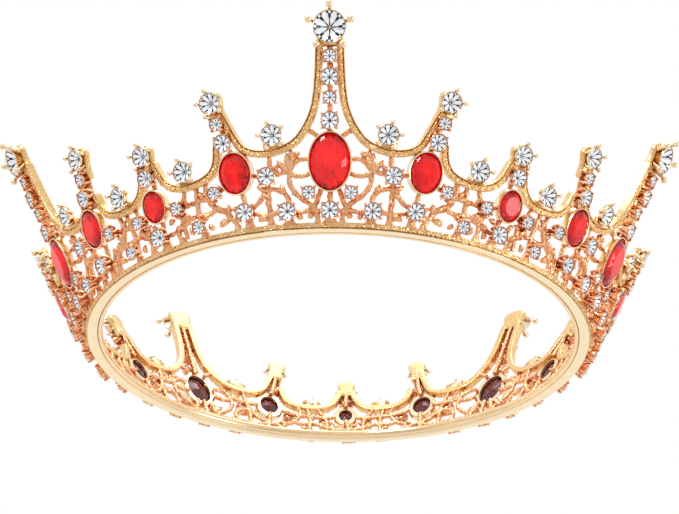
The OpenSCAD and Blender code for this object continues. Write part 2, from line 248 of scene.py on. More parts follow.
def new_material(name):
    mat = bpy.data.materials.new(name)
    mat.use_nodes = True
    nodes = mat.node_tree.nodes
    return mat, nodes, mat.node_tree.links, nodes["Principled BSDF"]


def noise(nodes, scale, detail=3.0):
    n = nodes.new("ShaderNodeTexNoise")
    n.inputs["Scale"].default_value = scale
    n.inputs["Detail"].default_value = detail
    return n


def ramp(nodes, stops):
    r = nodes.new("ShaderNodeValToRGB")
    r.color_ramp.elements.remove(r.color_ramp.elements[1])
    for i, (at, colour) in enumerate(stops):
        e = r.color_ramp.elements[0] if i == 0 else r.color_ramp.elements.new(at)
        e.position = at
        e.color = (*colour, 1)
    return r


def gold(name, light, mid, deep_shade_and_grain, rough, grain=0.0, grain_size=0.45, painted_shade_reach=1.0):
    """Plated metal with painted shade: an AO tint deepens its colour in its hollows. Mottled, with casting
    grain of its own colour.
    """
    mat, nodes, links, bsdf = new_material(name)
    bsdf.inputs["Metallic"].default_value = 1.0
    coords = nodes.new("ShaderNodeTexCoord")
    mottle = noise(nodes, 260.0, 4.0)
    links.new(coords.outputs["Object"], mottle.inputs["Vector"])
    fine = noise(nodes, 1.0 / (grain_size * MM), 3.0)
    links.new(coords.outputs["Object"], fine.inputs["Vector"])
    # Painted shade: ambient occlusion pulls the colour towards its deepest tone in hollows and between parts.
    painted_hollow_shade = nodes.new("ShaderNodeAmbientOcclusion")
    painted_hollow_shade.inputs["Distance"].default_value = painted_shade_reach * MM
    painted_hollow_shade.samples = 6
    mottle_and_painted_shade = nodes.new("ShaderNodeMath")
    mottle_and_painted_shade.operation = "MULTIPLY_ADD"
    mottle_and_painted_shade.inputs[1].default_value = 0.4
    links.new(mottle.outputs["Fac"], mottle_and_painted_shade.inputs[0])
    links.new(painted_hollow_shade.outputs["AO"], mottle_and_painted_shade.inputs[2])
    tone_in = nodes.new("ShaderNodeMath")
    tone_in.operation = "MULTIPLY_ADD"
    tone_in.inputs[1].default_value = grain
    links.new(fine.outputs["Fac"], tone_in.inputs[0])
    links.new(mottle_and_painted_shade.outputs[0], tone_in.inputs[2])
    level = nodes.new("ShaderNodeMapRange")
    level.inputs["From Min"].default_value = 0.3 + 0.38 * grain
    level.inputs["From Max"].default_value = 1.45 + 0.62 * grain
    links.new(tone_in.outputs[0], level.inputs["Value"])
    tone = ramp(nodes, [(0.12, deep_shade_and_grain), (0.62, mid), (1.0, light)])
    links.new(level.outputs["Result"], tone.inputs["Fac"])
    links.new(tone.outputs["Color"], bsdf.inputs["Base Color"])
    rough_map = nodes.new("ShaderNodeMapRange")
    rough_map.inputs["To Min"].default_value = rough * 0.6
    rough_map.inputs["To Max"].default_value = rough * 1.5
    links.new(mottle.outputs["Fac"], rough_map.inputs["Value"])
    links.new(rough_map.outputs["Result"], bsdf.inputs["Roughness"])
    bump = nodes.new("ShaderNodeBump")
    bump.inputs["Strength"].default_value = min(1.0, 0.15 + grain)
    bump.inputs["Distance"].default_value = 0.00012
    links.new(fine.outputs["Fac"], bump.inputs["Height"])
    links.new(bump.outputs["Normal"], bsdf.inputs["Normal"])
    return mat


def clear_glass(name, colour, ior):
    mat, nodes, links, bsdf = new_material(name)
    bsdf.inputs["Base Color"].default_value = (*colour, 1)
    bsdf.inputs["Transmission Weight"].default_value = 1.0
    bsdf.inputs["IOR"].default_value = ior
    coords = nodes.new("ShaderNodeTexCoord")
    wear = noise(nodes, 900.0, 2.0)
    links.new(coords.outputs["Object"], wear.inputs["Vector"])
    rough_map = nodes.new("ShaderNodeMapRange")
    rough_map.inputs["To Min"].default_value = 0.0
    rough_map.inputs["To Max"].default_value = 0.04
    links.new(wear.outputs["Fac"], rough_map.inputs["Value"])
    links.new(rough_map.outputs["Result"], bsdf.inputs["Roughness"])
    return mat


def thin_glass(name):
    """Clear facets that let the foil below show through and only add their gloss."""
    mat, nodes, links, bsdf = new_material(name)
    bsdf.inputs["Base Color"].default_value = (0.01, 0.01, 0.012, 1)
    bsdf.inputs["IOR"].default_value = 1.8
    coords = nodes.new("ShaderNodeTexCoord")
    wear = noise(nodes, 900.0, 2.0)
    links.new(coords.outputs["Object"], wear.inputs["Vector"])
    for socket, low, high in (("Roughness", 0.0, 0.05), ("Alpha", 0.10, 0.16)):
        spread = nodes.new("ShaderNodeMapRange")
        spread.inputs["To Min"].default_value = low
        spread.inputs["To Max"].default_value = high
        links.new(wear.outputs["Fac"], spread.inputs["Value"])
        links.new(spread.outputs["Result"], bsdf.inputs[socket])
    return mat


def foil(name, stops, rough=0.12, metallic=1.0, glow=0.0):
    """Foil on the back of a stone, each facet with a tone from its tone attribute, which holds painted
    reflections or painted light and shade; glow is painted light, an emission that stands in for the light
    the stone returns.
    """
    mat, nodes, links, bsdf = new_material(name)
    bsdf.inputs["Metallic"].default_value = metallic
    tone = nodes.new("ShaderNodeAttribute")
    tone.attribute_name = "tone"
    colours = ramp(nodes, stops)
    links.new(tone.outputs["Fac"], colours.inputs["Fac"])
    links.new(colours.outputs["Color"], bsdf.inputs["Base Color"])
    # Painted glow: the facet's colour also emits light.
    links.new(colours.outputs["Color"], bsdf.inputs["Emission Color"])
    bsdf.inputs["Emission Strength"].default_value = glow
    coords = nodes.new("ShaderNodeTexCoord")
    cloud = noise(nodes, 700.0, 2.0)
    links.new(coords.outputs["Object"], cloud.inputs["Vector"])
    rough_map = nodes.new("ShaderNodeMapRange")
    rough_map.inputs["To Min"].default_value = rough * 0.5
    rough_map.inputs["To Max"].default_value = rough * 1.6
    links.new(cloud.outputs["Fac"], rough_map.inputs["Value"])
    links.new(rough_map.outputs["Result"], bsdf.inputs["Roughness"])
    return mat


# Each gold's third colour is painted shade in its hollows as well as the dark of its grain; the last number,
# where given, is how far the painted shade reaches, in mm.
GOLD_RAIL = gold("textured_gold", (1.0, 0.84, 0.52), (0.94, 0.56, 0.22), (0.30, 0.11, 0.03), 0.2,
                 grain=1.6, grain_size=0.5)
GOLD_LEAF = gold("coral_gold", (1.0, 0.78, 0.50), (0.92, 0.44, 0.20), (0.42, 0.11, 0.05), 0.26,
                 grain=1.2, grain_size=0.7, painted_shade_reach=1.6)
GOLD_BORDER = gold("border_gold", (1.0, 0.84, 0.52), (0.92, 0.56, 0.24), (0.22, 0.08, 0.02), 0.2,
                   grain=1.5, grain_size=0.45)
GOLD_SMOOTH = gold("polished_gold", (1.0, 0.88, 0.64), (0.97, 0.72, 0.42), (0.45, 0.20, 0.07), 0.13,
                   painted_shade_reach=0.6)
GOLD_HOOP = gold("hoop_gold", (1.0, 0.86, 0.60), (0.95, 0.62, 0.30), (0.42, 0.15, 0.04), 0.13,
                 grain=0.2, grain_size=4.0, painted_shade_reach=1.6)
GOLD_CUP = gold("cup_gold", (1.0, 0.80, 0.54), (0.94, 0.46, 0.24), (0.45, 0.12, 0.05), 0.2,
                grain=0.3, grain_size=0.8, painted_shade_reach=1.2)
CRYSTAL = thin_glass("crystal_glass")
# The foil tones are painted: painted reflections on the crystals, painted light and shade on the rubies,
# whose dark backs follow the same tones. Each glow is painted light.
CRYSTAL_FOIL = foil("crystal_foil", [(0.0, (0.004, 0.005, 0.008)), (0.3, (0.05, 0.055, 0.07)),
                                     (0.5, (0.75, 0.79, 0.85)), (1.0, (1.0, 1.0, 1.0))], metallic=0.1,
                    glow=0.35)
RUBY = clear_glass("red_glass", (1.0, 0.2, 0.18), 1.52)
RUBY_FOIL = foil("red_foil", [(0.0, (0.42, 0.0, 0.005)), (0.5, (0.85, 0.01, 0.015)),
                              (1.0, (1.0, 0.06, 0.05))], rough=0.3, glow=0.12)
RUBY_BACK = foil("red_back", [(0.0, (0.05, 0.004, 0.01)), (1.0, (0.16, 0.02, 0.035))],
                 rough=0.2, metallic=0.0)

# ---- Where things are -------------------------------------------------------------------

RAIL_TALL = [(1.7, 45.4), (1.8, 41), (2, 36), (2.4, 31.5), (3.1, 28), (4.3, 24.8), (6, 21.9),
             (8.3, 20.2), (11.2, 19.4), (14, 19.8), (16, 21.2), (17.2, 23.6), (18.3, 27.2),
             (19.4, 30.8)]
RAIL_LOW = [(20.8, 22.9), (21.4, 19.2), (22.7, 16.7), (24.7, 15.4), (27, 14.9), (29.6, 15),
            (31.6, 15.9), (33.1, 17.8), (34, 20.4), (34.7, 23.2)]

# Each stone place is (angle, slope, lean).
TIP_TALL = [(0, 49, 0)]
TIP_MID = [(20.4, 33.4, -12), (-20.4, 33.4, 12)]
TIP_LOW = [(36, 25.6, 0)]
DIP_TALL = [(10.2, 23.6, -14), (-10.2, 23.6, 14)]
DIP_LOW = [(28, 18.6, -8), (44, 18.6, 8)]
COLUMN_LARGE = [(0, 26.4, 0), (0, 36.9, 0), (19.1, 23.2, 0), (-19.1, 23.2, 0), (36, 19.9, 0)]
COLUMN_SMALL = [(0, 32, 0), (0, 42, 0), (19.8, 28.1, 0), (-19.8, 28.1, 0)]
FOOT_LARGE = [(0, 4.9, 0), (8.3, 4.9, 0), (-8.3, 4.9, 0), (35.2, 4.9, 0)]
SIDE_LARGE = [(11.7, 13.8, 0), (-11.7, 13.8, 0), (16.7, 5.8, 0), (-16.7, 5.8, 0)]
FOOT_SMALL = [(4, 9.2, 0), (-4, 9.2, 0), (27, 4.4, 0), (45, 4.4, 0)]
SIDE_SMALL = [(22.4, 11.7, 0), (-22.4, 11.7, 0), (31, 10.4, 0), (41, 10.4, 0)]
CUP_WALL = 0.35

# Strands of the filigree, from the tall spire's side out to the seam and beyond.
VINES = [
    [(7.4, 16), (7.8, 13.6), (7.7, 11.4), (6.6, 9), (4.9, 7.3), (3.3, 5.8), (2.7, 4.2), (2.5, 2.6)],
    [(3.6, 17.3), (5.2, 17.4), (6.6, 16.7), (7.6, 15.2), (8.6, 14.6), (10, 14.2), (11.6, 14)],
    [(3.4, 14.0), (5, 13.4), (6.6, 13.5), (7.8, 14.4)],
    [(2.0, 22.6), (3.2, 23.8), (4.6, 25.0)],
    [(1.6, 10.4), (2.2, 8.6), (2.6, 7), (3.2, 5.8)],
    [(8.3, 2.6), (8.4, 5), (8.2, 7.4), (8.7, 9), (9.9, 10.2), (11.2, 10.7), (12.7, 10.3),
     (13.5, 8.8), (14.6, 7.4), (16.4, 6.2)],
    [(12.0, 2.6), (12.1, 5), (12.1, 8), (12.2, 11), (11.8, 13.8), (11.4, 16.4), (11.3, 19)],
    [(11.7, 13.9), (13.2, 14.1), (14.8, 14.4)],
    [(16.7, 2.6), (16.8, 5.8), (17.1, 8), (17.5, 11)],
    [(24.5, 15.2), (25, 12.8), (24.8, 10.8), (23.9, 8.8), (22.5, 7.3), (21, 6.4), (20, 4.4),
     (19.2, 2.6)],
    [(20.4, 13), (21.4, 12.3), (22.6, 11.8), (24, 11.2), (25.4, 10.9), (27.4, 11)],
    [(23.2, 8), (24.6, 7.2), (26.4, 7.2), (28, 7.6)],
    [(27, 2.6), (27, 4.4), (27.4, 7.4), (27.2, 11), (26.8, 14.8)],
    [(0, 4.6), (2, 4.9), (4.2, 4.9), (6, 4.6), (8.3, 4.7), (10.2, 4.9), (12.2, 4.5), (14.4, 4.9),
     (16.7, 5.6), (18.6, 5.8)]]
VINES_LOW = [
    [(27, 11), (28.6, 10.7), (31, 10.4), (33.6, 11)],
    [(27, 7.3), (29, 7.2), (30.6, 6.3), (32.4, 5.4), (34, 5), (36, 4.8)],
    [(31.2, 2.6), (31.4, 5.4), (31.5, 8), (31, 10.4), (30, 12.6), (29.4, 14.9)]]
VINES_AXIS = [[(0, 23), (0, 30), (0, 38), (0, 46)], [(0, 2.6), (0, 6), (0, 10.6)],
              [(18.3, 20), (19.1, 23.5), (19.8, 28), (20.3, 31.6)],
              [(-18.3, 20), (-19.1, 23.5), (-19.8, 28), (-20.3, 31.6)],
              [(36, 16), (36, 20), (36, 24)], [(35.2, 2.6), (35.3, 6), (35.8, 9.6)]]
# Leaves: (angle, slope, direction of the tip, length).
LEAVES = [(7.4, 16.0, 112, 2.6), (6.9, 18.0, 75, 1.9), (6.4, 18.2, 140, 1.6), (7.9, 15.6, 88, 3.6),
          (8.4, 15.0, 52, 3.2), (8.8, 9.2, 70, 2.6),
          (9.6, 10.0, 24, 2.0), (12.5, 10.4, 30, 2.6), (12.2, 9.8, -36, 2.6), (12.0, 8.2, -70, 2.0),
          (12.8, 3.2, 52, 2.0), (14.2, 3.0, 112, 1.8), (4.4, 3.2, 148, 1.8), (5.6, 3.0, 40, 1.6),
          (10.6, 14.6, 118, 2.2), (20.6, 6.2, 96, 2.4), (21.2, 6.8, 40, 2.6), (21.0, 4.6, -24, 2.6),
          (19.4, 4.0, 150, 2.2), (22.8, 3.4, 120, 2.2), (24.4, 9.6, 172, 2.4), (25.4, 11, 60, 2.4),
          (25.2, 7.2, -48, 2.2), (23.4, 8.4, 196, 2.2), (24.6, 3.2, 62, 1.8)]
LEAVES_LOW = [(29.2, 7.2, 46, 2.6), (30.6, 6.4, 96, 2.6), (31.2, 8.4, 12, 2.2), (31.4, 6.2, -20, 2.6),
              (29.2, 3.2, 70, 2.0), (32.8, 3.0, 100, 2.0), (28.4, 10.8, 200, 2.2),
              (29.6, 10.6, 80, 2.2), (33.2, 8.4, -40, 2.0)]
# Little closed scrolls: (angle, slope, radius).
# Solid blocks that rise from the border to the stones at the foot: (angle, slope of the top, width).
WEDGES = [(0, 3.6, 4.2), (8.3, 3.6, 3.4), (16.7, 4.4, 3.4), (26.9, 3.2, 2.8),
          (35.2, 3.6, 3.8), (45.1, 3.2, 2.8),
          (2.5, 4.6, 1.9), (12.1, 3.4, 2.6), (19.3, 3.4, 2.4), (31.3, 3.4, 2.4), (39.4, 3.4, 2.4)]
RINGS = [(20.1, 5.9, 1.3)]

# ---- Castings ---------------------------------------------------------------------------


def rail_outline():
    """Smooth back, a fine raised edge on the free side and a crowned, textured face."""
    w, d = RAIL_W / 2, RAIL_D
    back = rounded([(-w, d - 0.7), (-w, 0.0), (w, 0.0), (w, d - 0.5)], 0.35, 4)[5:15]
    edge = [(w, d - 0.35), (w - 0.05, d - 0.12), (w - 0.15, d), (w - 0.27, d - 0.08), (w - 0.34, d - 0.45),
            (w - 0.48, d - 0.5)]
    face_x = np.linspace(w - 0.6, -w + 0.06, 16)
    face = [(x, d - 0.28 + 0.26 * math.cos((x + 0.2) / (w - 0.2) * 1.25)) for x in face_x]
    return back + edge + face + [(-w, d - 0.55)], len(back) + len(edge)


def add_rail(build, path, flip):
    """One run of rail. Returns the numbers of the vertices that carry the grain."""
    outline, first_face = rail_outline()
    if flip:
        outline = [(-x, n) for x, n in outline]
    route = smooth_path(path, 0.16)
    pts = sweep(route, outline)
    faces = grid_faces(len(route), len(outline))
    if not flip:
        faces = [f[::-1] for f in faces]
    start = build.count
    build.add(pts, faces, 0)
    rows = np.arange(len(route))[:, None] * len(outline)
    return (start + rows + np.arange(first_face, len(outline) - 1)).ravel().tolist()


def add_tube(build, path, width, depth, centre_n, taper=True, sides=10, step=0.35):
    """A round-backed strand of filigree, a little thinner at its ends."""
    route = smooth_path(path, step)
    a = np.arange(sides) * 2 * math.pi / sides
    outline = np.stack([width / 2 * np.cos(a), centre_n + depth / 2 * np.sin(a)], -1)
    u = np.linspace(0, 1, len(route))
    scale = 1.0 + 0.12 * np.sin(u * 37 + path[0][0])
    if taper:
        scale *= 0.85 + 0.15 * np.sin(math.pi * u)
    build.add(sweep(route, outline, scale), grid_faces(len(route), sides), 0)


def add_leaf(build, t, s, way, length, n0=0.3):
    """A pointed leaf, crowned along its midrib, lying out from a stem."""
    steps, sides = 9, 10
    m = place_matrix(t, s, way)
    rings = []
    for i in range(steps):
        u = i / (steps - 1)
        half = max(0.12, 0.74 * math.sin(math.pi * min(0.97, 0.18 + 0.82 * u)) ** 0.8)
        lift = n0 + 0.75 + 0.35 * math.sin(math.pi * u)
        a = np.arange(sides) * 2 * math.pi / sides
        rings.append(np.stack([np.full(sides, u * length), half * np.cos(a),
                               lift + (0.35 + 0.35 * half) * np.sin(a)], -1))
    build.add(moved(np.array(rings), m), grid_faces(steps, sides), 0)


def add_wedge(build, t, s, width):
    """A block that spreads towards the border below it."""
    m = place_matrix(t, 0)
    half = width / 2
    outline = np.array(rounded([(-half, BORDER_H - 0.3), (half, BORDER_H - 0.3),
                                (half * 0.62, BORDER_H + 0.6), (half * 0.5, s), (-half * 0.5, s), (-half * 0.62, BORDER_H + 0.6)], 0.25))
    rings = [np.column_stack([outline, np.full(len(outline), n)]) for n in (0.1, 1.25)]
    build.add(moved(np.array(rings), m), grid_faces(2, len(outline)), 0)


def add_ring(build, t, s, radius):
    """A small closed scroll."""
    steps, sides = 20, 8
    m = place_matrix(t, s)
    a = np.arange(steps) * 2 * math.pi / steps
    b = np.arange(sides) * 2 * math.pi / sides
    r = radius + 0.42 * np.cos(b)[None, :]
    pts = np.stack([r * np.cos(a)[:, None], r * np.sin(a)[:, None],
                    np.repeat(0.8 + 0.5 * np.sin(b)[None, :], steps, 0)], -1)
    build.add(moved(pts, m), grid_faces(steps, sides, closed_rows=True), 0)


def add_pad(build, t, s, width, length, lean=0.0, top=2.0, bottom=0.1):
    """A solid, round-cornered plate that joins rail to setting."""
    m = place_matrix(t, s, lean)
    outline = rounded([(-width / 2, -length / 2), (width / 2, -length / 2),
                       (width / 2, length / 2), (-width / 2, length / 2)], 0.6, 4)
    o = np.array(outline)
    rings = [np.column_stack([o * k, np.full(len(o), n)])
             for k, n in ((0.9, bottom), (1.0, bottom + 0.25), (1.0, top - 0.3), (0.86, top))]
    build.add(moved(np.array(rings), m), grid_faces(len(rings), len(o)), 0)


def add_plate(build, place, waist, head, up, down):
    """Smooth plate behind a spire's tip, with a waist, broad shoulders and an arched top."""
    side = [(waist / 2 + 0.5, -down), (waist / 2, -0.55 * down), (waist / 2 + 0.1, -0.2 * down),
            (head / 2 + 0.1, 0.3 * up), (0.44 * head, 0.72 * up), (0.25 * head, up)]
    outline = np.array(rounded(side + [(-x, y) for x, y in side[::-1]], 0.8, 5))
    rings = [np.column_stack([outline * k, np.full(len(outline), n)])
             for k, n in ((0.80, 0.06), (0.93, 0.12), (0.99, 0.32), (1.0, 0.6), (1.0, 1.3),
                          (0.97, 1.6), (0.9, 1.75))]
    build.add(moved(np.array(rings), place_matrix(*place)), grid_faces(len(rings), len(outline)), 0)


def filigree_mesh():
    """The openwork of one section, fused and softened like a wax casting."""
    build = Build()
    for path in VINES:
        for p in (path, mirrored(path)):
            add_tube(build, p, 1.35, 1.3, 0.7)
    for path in VINES_LOW:
        for p in (path, mirrored(path, LOW_AT)):
            add_tube(build, p, 1.3, 1.25, 0.7)
    for path in VINES[10:13]:
        add_tube(build, mirrored(path, LOW_AT), 1.3, 1.25, 0.7)
    for path in VINES_AXIS:
        add_tube(build, path, 1.4, 1.3, 0.7, taper=False)
    for t, s, way, length in LEAVES:
        add_leaf(build, t, s, way, length)
        add_leaf(build, -t, s, 180 - way, length)
    for t, s, way, length in LEAVES_LOW:
        add_leaf(build, t, s, way, length)
        add_leaf(build, 2 * LOW_AT - t, s, 180 - way, length)
    for t, s, width in WEDGES:
        add_wedge(build, t, s, width)
        if 0 < t < SEAM_AT:
            add_wedge(build, -t, s, width)
    for t, s, r in RINGS:
        add_ring(build, t, s, r)
        add_ring(build, -t, s, r)
    mesh = build.mesh("filigree_raw")
    ob = add_object("filigree_raw", mesh, [])
    remesh = ob.modifiers.new("remesh", "REMESH")
    remesh.mode = "VOXEL"
    remesh.voxel_size = 0.17 * MM
    soft = ob.modifiers.new("soft", "SMOOTH")
    soft.iterations = 3
    grain = bpy.data.textures.new("filigree_grain", "CLOUDS")
    grain.noise_scale = 0.55 * MM
    grain.noise_depth = 2
    rough = ob.modifiers.new("rough", "DISPLACE")
    rough.texture = grain
    rough.texture_coords = "LOCAL"
    rough.strength = 0.34 * MM
    rough.mid_level = 0.5
    out = baked(ob)
    bpy.data.objects.remove(ob)
    return out


def rail_mesh():
    """The rails of one section, with granulation on their faces, and their pads."""
    build = Build()
    grainy = add_rail(build, RAIL_TALL, False)
    grainy += add_rail(build, mirrored(RAIL_TALL), True)
    grainy += add_rail(build, RAIL_LOW, False)
    grainy += add_rail(build, mirrored(RAIL_LOW, LOW_AT), True)
    grainy += add_rail(build, mirrored(RAIL_LOW), True)
    add_plate(build, TIP_TALL[0], 6.4, 7.6, 3.6, 4.6)
    for p in TIP_MID:
        add_plate(build, p, 4.1, 5.4, 2.6, 5.8)
    add_plate(build, TIP_LOW[0], 4.1, 5.2, 2.5, 4.3)
    for side in (1, -1):
        add_pad(build, 10.7 * side, 21, 3.8, 2.4, -8 * side)
    add_pad(build, 28, 16.1, 3.6, 2.2, -6)
    add_pad(build, 44, 16.1, 3.6, 2.2, 6)
    return displaced(build.mesh("rail_raw"), grainy,
                     [("VORONOI", 0.5, 0.4, 0.6), ("STUCCI", 0.26, 0.24, 0.6)], 1.0)


def cut_to_section(mesh):
    """Trims a section's mesh at its two seams, a hair inside them."""
    bm = bmesh.new()
    bm.from_mesh(mesh)
    for angle, sign in ((-SEAM_AT, 1), (SECTION_DEG - SEAM_AT, -1)):
        a = math.radians(angle)
        across = Vector((math.cos(a), math.sin(a), 0)) * sign
        geom = bm.verts[:] + bm.edges[:] + bm.faces[:]
        cut = bmesh.ops.bisect_plane(bm, geom=geom, plane_co=across * 0.01 * MM, plane_no=-across,
                                     clear_outer=True)
        edges = [e for e in cut["geom_cut"] if isinstance(e, bmesh.types.BMEdge)]
        bmesh.ops.holes_fill(bm, edges=edges)
    bm.to_mesh(mesh)
    bm.free()


def make_castings():
    rails, vines = rail_mesh(), filigree_mesh()
    for m in (rails, vines):
        cut_to_section(m)
    joined = bmesh.new()
    joined.from_mesh(rails)
    rail_faces = len(joined.faces)
    joined.from_mesh(vines)
    for i, face in enumerate(joined.faces):
        face.material_index = 0 if i < rail_faces else 1
        face.smooth = True
    base = bpy.data.meshes.new("casting")
    joined.to_mesh(base)
    joined.free()
    for name, k in SECTIONS.items():
        mesh = base.copy()
        mesh.transform(Matrix.Rotation(math.radians(k * SECTION_DEG), 4, "Z"))
        ob = add_object("casting_work_" + name, mesh, [GOLD_RAIL, GOLD_LEAF])
        finish_piece(ob, "textured_gold", "casting_" + name)


# ---- Base ------------------------------------------------------------------------------


def ring_mesh(name, outline, steps, grain_rows=()):
    """A closed ring about Z from an outline of (radius, height) in mm."""
    a = np.arange(steps) * 2 * math.pi / steps
    o = np.asarray(outline, float)
    pts = np.stack([np.sin(a)[:, None] * o[None, :, 0], -np.cos(a)[:, None] * o[None, :, 0],
                    np.repeat(o[None, :, 1], steps, 0)], -1)
    build = Build()
    build.add(pts, [f[::-1] for f in grid_faces(steps, len(o), closed_rows=True)])
    mesh = build.mesh(name)
    grainy = [i * len(o) + j for i in range(steps) for j in grain_rows]
    return mesh, grainy


def displaced(mesh, group, layers, scale):
    """Raises grain on the numbered vertices, by layers of (texture, size, strength, mid level)."""
    ob = add_object("work", mesh, [])
    ob.vertex_groups.new(name="grain").add(group, 1.0, "REPLACE")
    for kind, size, strength, mid in layers:
        tex = bpy.data.textures.new(kind, kind)
        tex.noise_scale = size * MM
        mod = ob.modifiers.new(kind, "DISPLACE")
        mod.texture = tex
        mod.texture_coords = "LOCAL"
        mod.vertex_group = "grain"
        mod.strength = strength * MM * scale
        mod.mid_level = mid
    out = baked(ob)
    bpy.data.objects.remove(ob)
    return out


def make_border():
    """Granulated band round the foot, over a plain bevelled underside."""
    c, s = math.cos(FLARE), math.sin(FLARE)

    def at(up, out):
        return (WALL_R + up * s + out * c, up * c - out * s)

    foot = (BORDER_WALL * s + FOOT_Z) / c
    under = [(HOOP_OUT + 0.02, HOOP_H), (HOOP_OUT + 0.02, 0.12), (HOOP_OUT + 0.18, -0.02),
             (WALL_R - 0.1, FOOT_Z + 0.04), (WALL_R + 0.1, FOOT_Z)]
    edge = [at(foot - 0.02, BORDER_WALL - 0.14), at(foot + 0.05, BORDER_WALL - 0.02),
            at(foot + 0.14, BORDER_WALL), at(foot + 0.2, BORDER_WALL - 0.06),
            at(foot + 0.24, BORDER_WALL - 0.5), at(foot + 0.42, BORDER_WALL - 0.5)]
    face = [at(u, BORDER_WALL - 0.1 + 0.08 * math.sin((u - foot) * 2))
            for u in np.linspace(foot + 0.48, BORDER_H - 0.16, 9)]
    top = [at(BORDER_H - 0.04, BORDER_WALL - 0.12), at(BORDER_H, BORDER_WALL - 0.4),
           at(BORDER_H, 0.4), at(BORDER_H - 0.1, 0.1)]
    outline = under + edge + face + top
    first = len(under + edge)
    mesh, grainy = ring_mesh("border_raw", outline, 2400, range(first, first + len(face)))
    out = displaced(mesh, grainy, [("VORONOI", 0.55, 0.4, 0.8), ("STUCCI", 0.28, 0.22, 0.6)], 1.0)
    out.shade_smooth()
    columns = np.arange(len(out.polygons)) % len(outline)
    smooth = (columns < first - 2) | (columns >= first + len(face))
    out.polygons.foreach_set("material_index", smooth.astype(int))
    finish_piece(add_object("border_work", out, [GOLD_BORDER, GOLD_SMOOTH]), "textured_gold", "border_band")


def make_hoop():
    """Half-round hoop inside the foot, standing a little proud of it."""
    outer = HOOP_OUT - 0.02
    outline = [(outer, HOOP_H), (outer, 0.3), (outer - 0.12, 0.08)]
    for i in range(13):
        a = math.radians(-75 + i * 150 / 12)
        outline.append((HOOP_R + 0.62 - 0.62 * math.cos(a), HOOP_H / 2 + 0.97 * HOOP_H / 2 * math.sin(a)))
    mesh, _ = ring_mesh("hoop", outline, 480)
    shade(mesh, 50)
    finish_piece(add_object("inner_hoop_work", mesh, [GOLD_HOOP]), "polished_gold", "inner_hoop")


# ---- Settings ----------------------------------------------------------------------------


def girdle_n(d):
    return SEAT + 0.3 * d + 0.6 + (0.9 if d < 4.5 else 0)


def everywhere(places):
    """Every place of a kind round the crown, section by section."""
    for k in range(5):
        for t, s, lean in places:
            yield t + k * SECTION_DEG, s, lean


def add_wire(build, matrix, way, spine, radii, sides=10):
    """A bent round arm in the plane that runs out from a cup's axis at an angle."""
    p = np.array(spine, float)
    d = unit(np.gradient(p, axis=0))
    across = np.stack([-d[:, 1], d[:, 0]], -1)
    a = np.arange(sides) * 2 * math.pi / sides
    r = np.array(radii)[:, None]
    pts = np.stack([p[:, :1] + across[:, :1] * r * np.cos(a), r * np.sin(a),
                    p[:, 1:] + across[:, 1:] * r * np.cos(a)], -1)
    m = matrix @ Matrix.Rotation(math.radians(way), 4, "Z")
    build.add(moved(pts, m), [f[::-1] for f in grid_faces(len(p), sides)])


def claw_path(start, elbow, end, steps=8):
    """A quadratic bend through three places of (distance from the axis, height)."""
    u = np.linspace(0, 1, steps)[:, None]
    a, b, c = (np.array(v, float) for v in (start, elbow, end))
    return (1 - u) ** 2 * a + 2 * u * (1 - u) * b + u ** 2 * c


def add_claw(build, matrix, d, way):
    """An arm that climbs the side of a cup and ends in a pear-shaped ball."""
    r, g = d / 2 + CUP_WALL, girdle_n(d)
    big = d > 6
    ball = 0.125 * d
    lean = math.radians(45 if big else 22)
    tip = np.array((r + 0.05 + 0.22 * d * math.sin(lean), g - 0.5 + 0.22 * d * math.cos(lean)))
    axis = np.array((math.sin(lean), math.cos(lean)))
    arm = claw_path((0.62 * r, SEAT + 0.25), (r + 0.1, SEAT + 0.5 * (g - SEAT)), tip - axis * ball)
    bead_u = np.radians(np.linspace(-62, 90, 9))
    bead = tip + axis * ball * np.sin(bead_u)[:, None]
    spine = np.vstack([arm, bead])
    radii = list(np.linspace(0.085 * d, 0.06 * d, len(arm))) + list(np.maximum(ball * np.cos(bead_u), 0.01))
    add_wire(build, matrix, way, spine, radii)


def add_cup(build, matrix, d):
    """A round setting: narrow back, flared side, and a thin rim round the stone."""
    r, g = d / 2 + CUP_WALL - 0.12, girdle_n(d)
    profile = [(0.001, SEAT), (0.52 * r, SEAT), (0.6 * r, SEAT + 0.1), (0.68 * r, SEAT + 0.45 * (g - SEAT)),
               (0.93 * r, g - 0.55), (r, g - 0.3), (r, g + 0.02), (r - 0.08, g + 0.1),
               (d / 2 + 0.02, g + 0.02), (d / 2 - 0.1, g - 0.16), (0.3 * d, g - 0.19 * d - 0.1),
               (0.001, SEAT + 0.08)]
    pts, faces = revolve(profile, 36)
    build.add(moved(pts, matrix), faces)


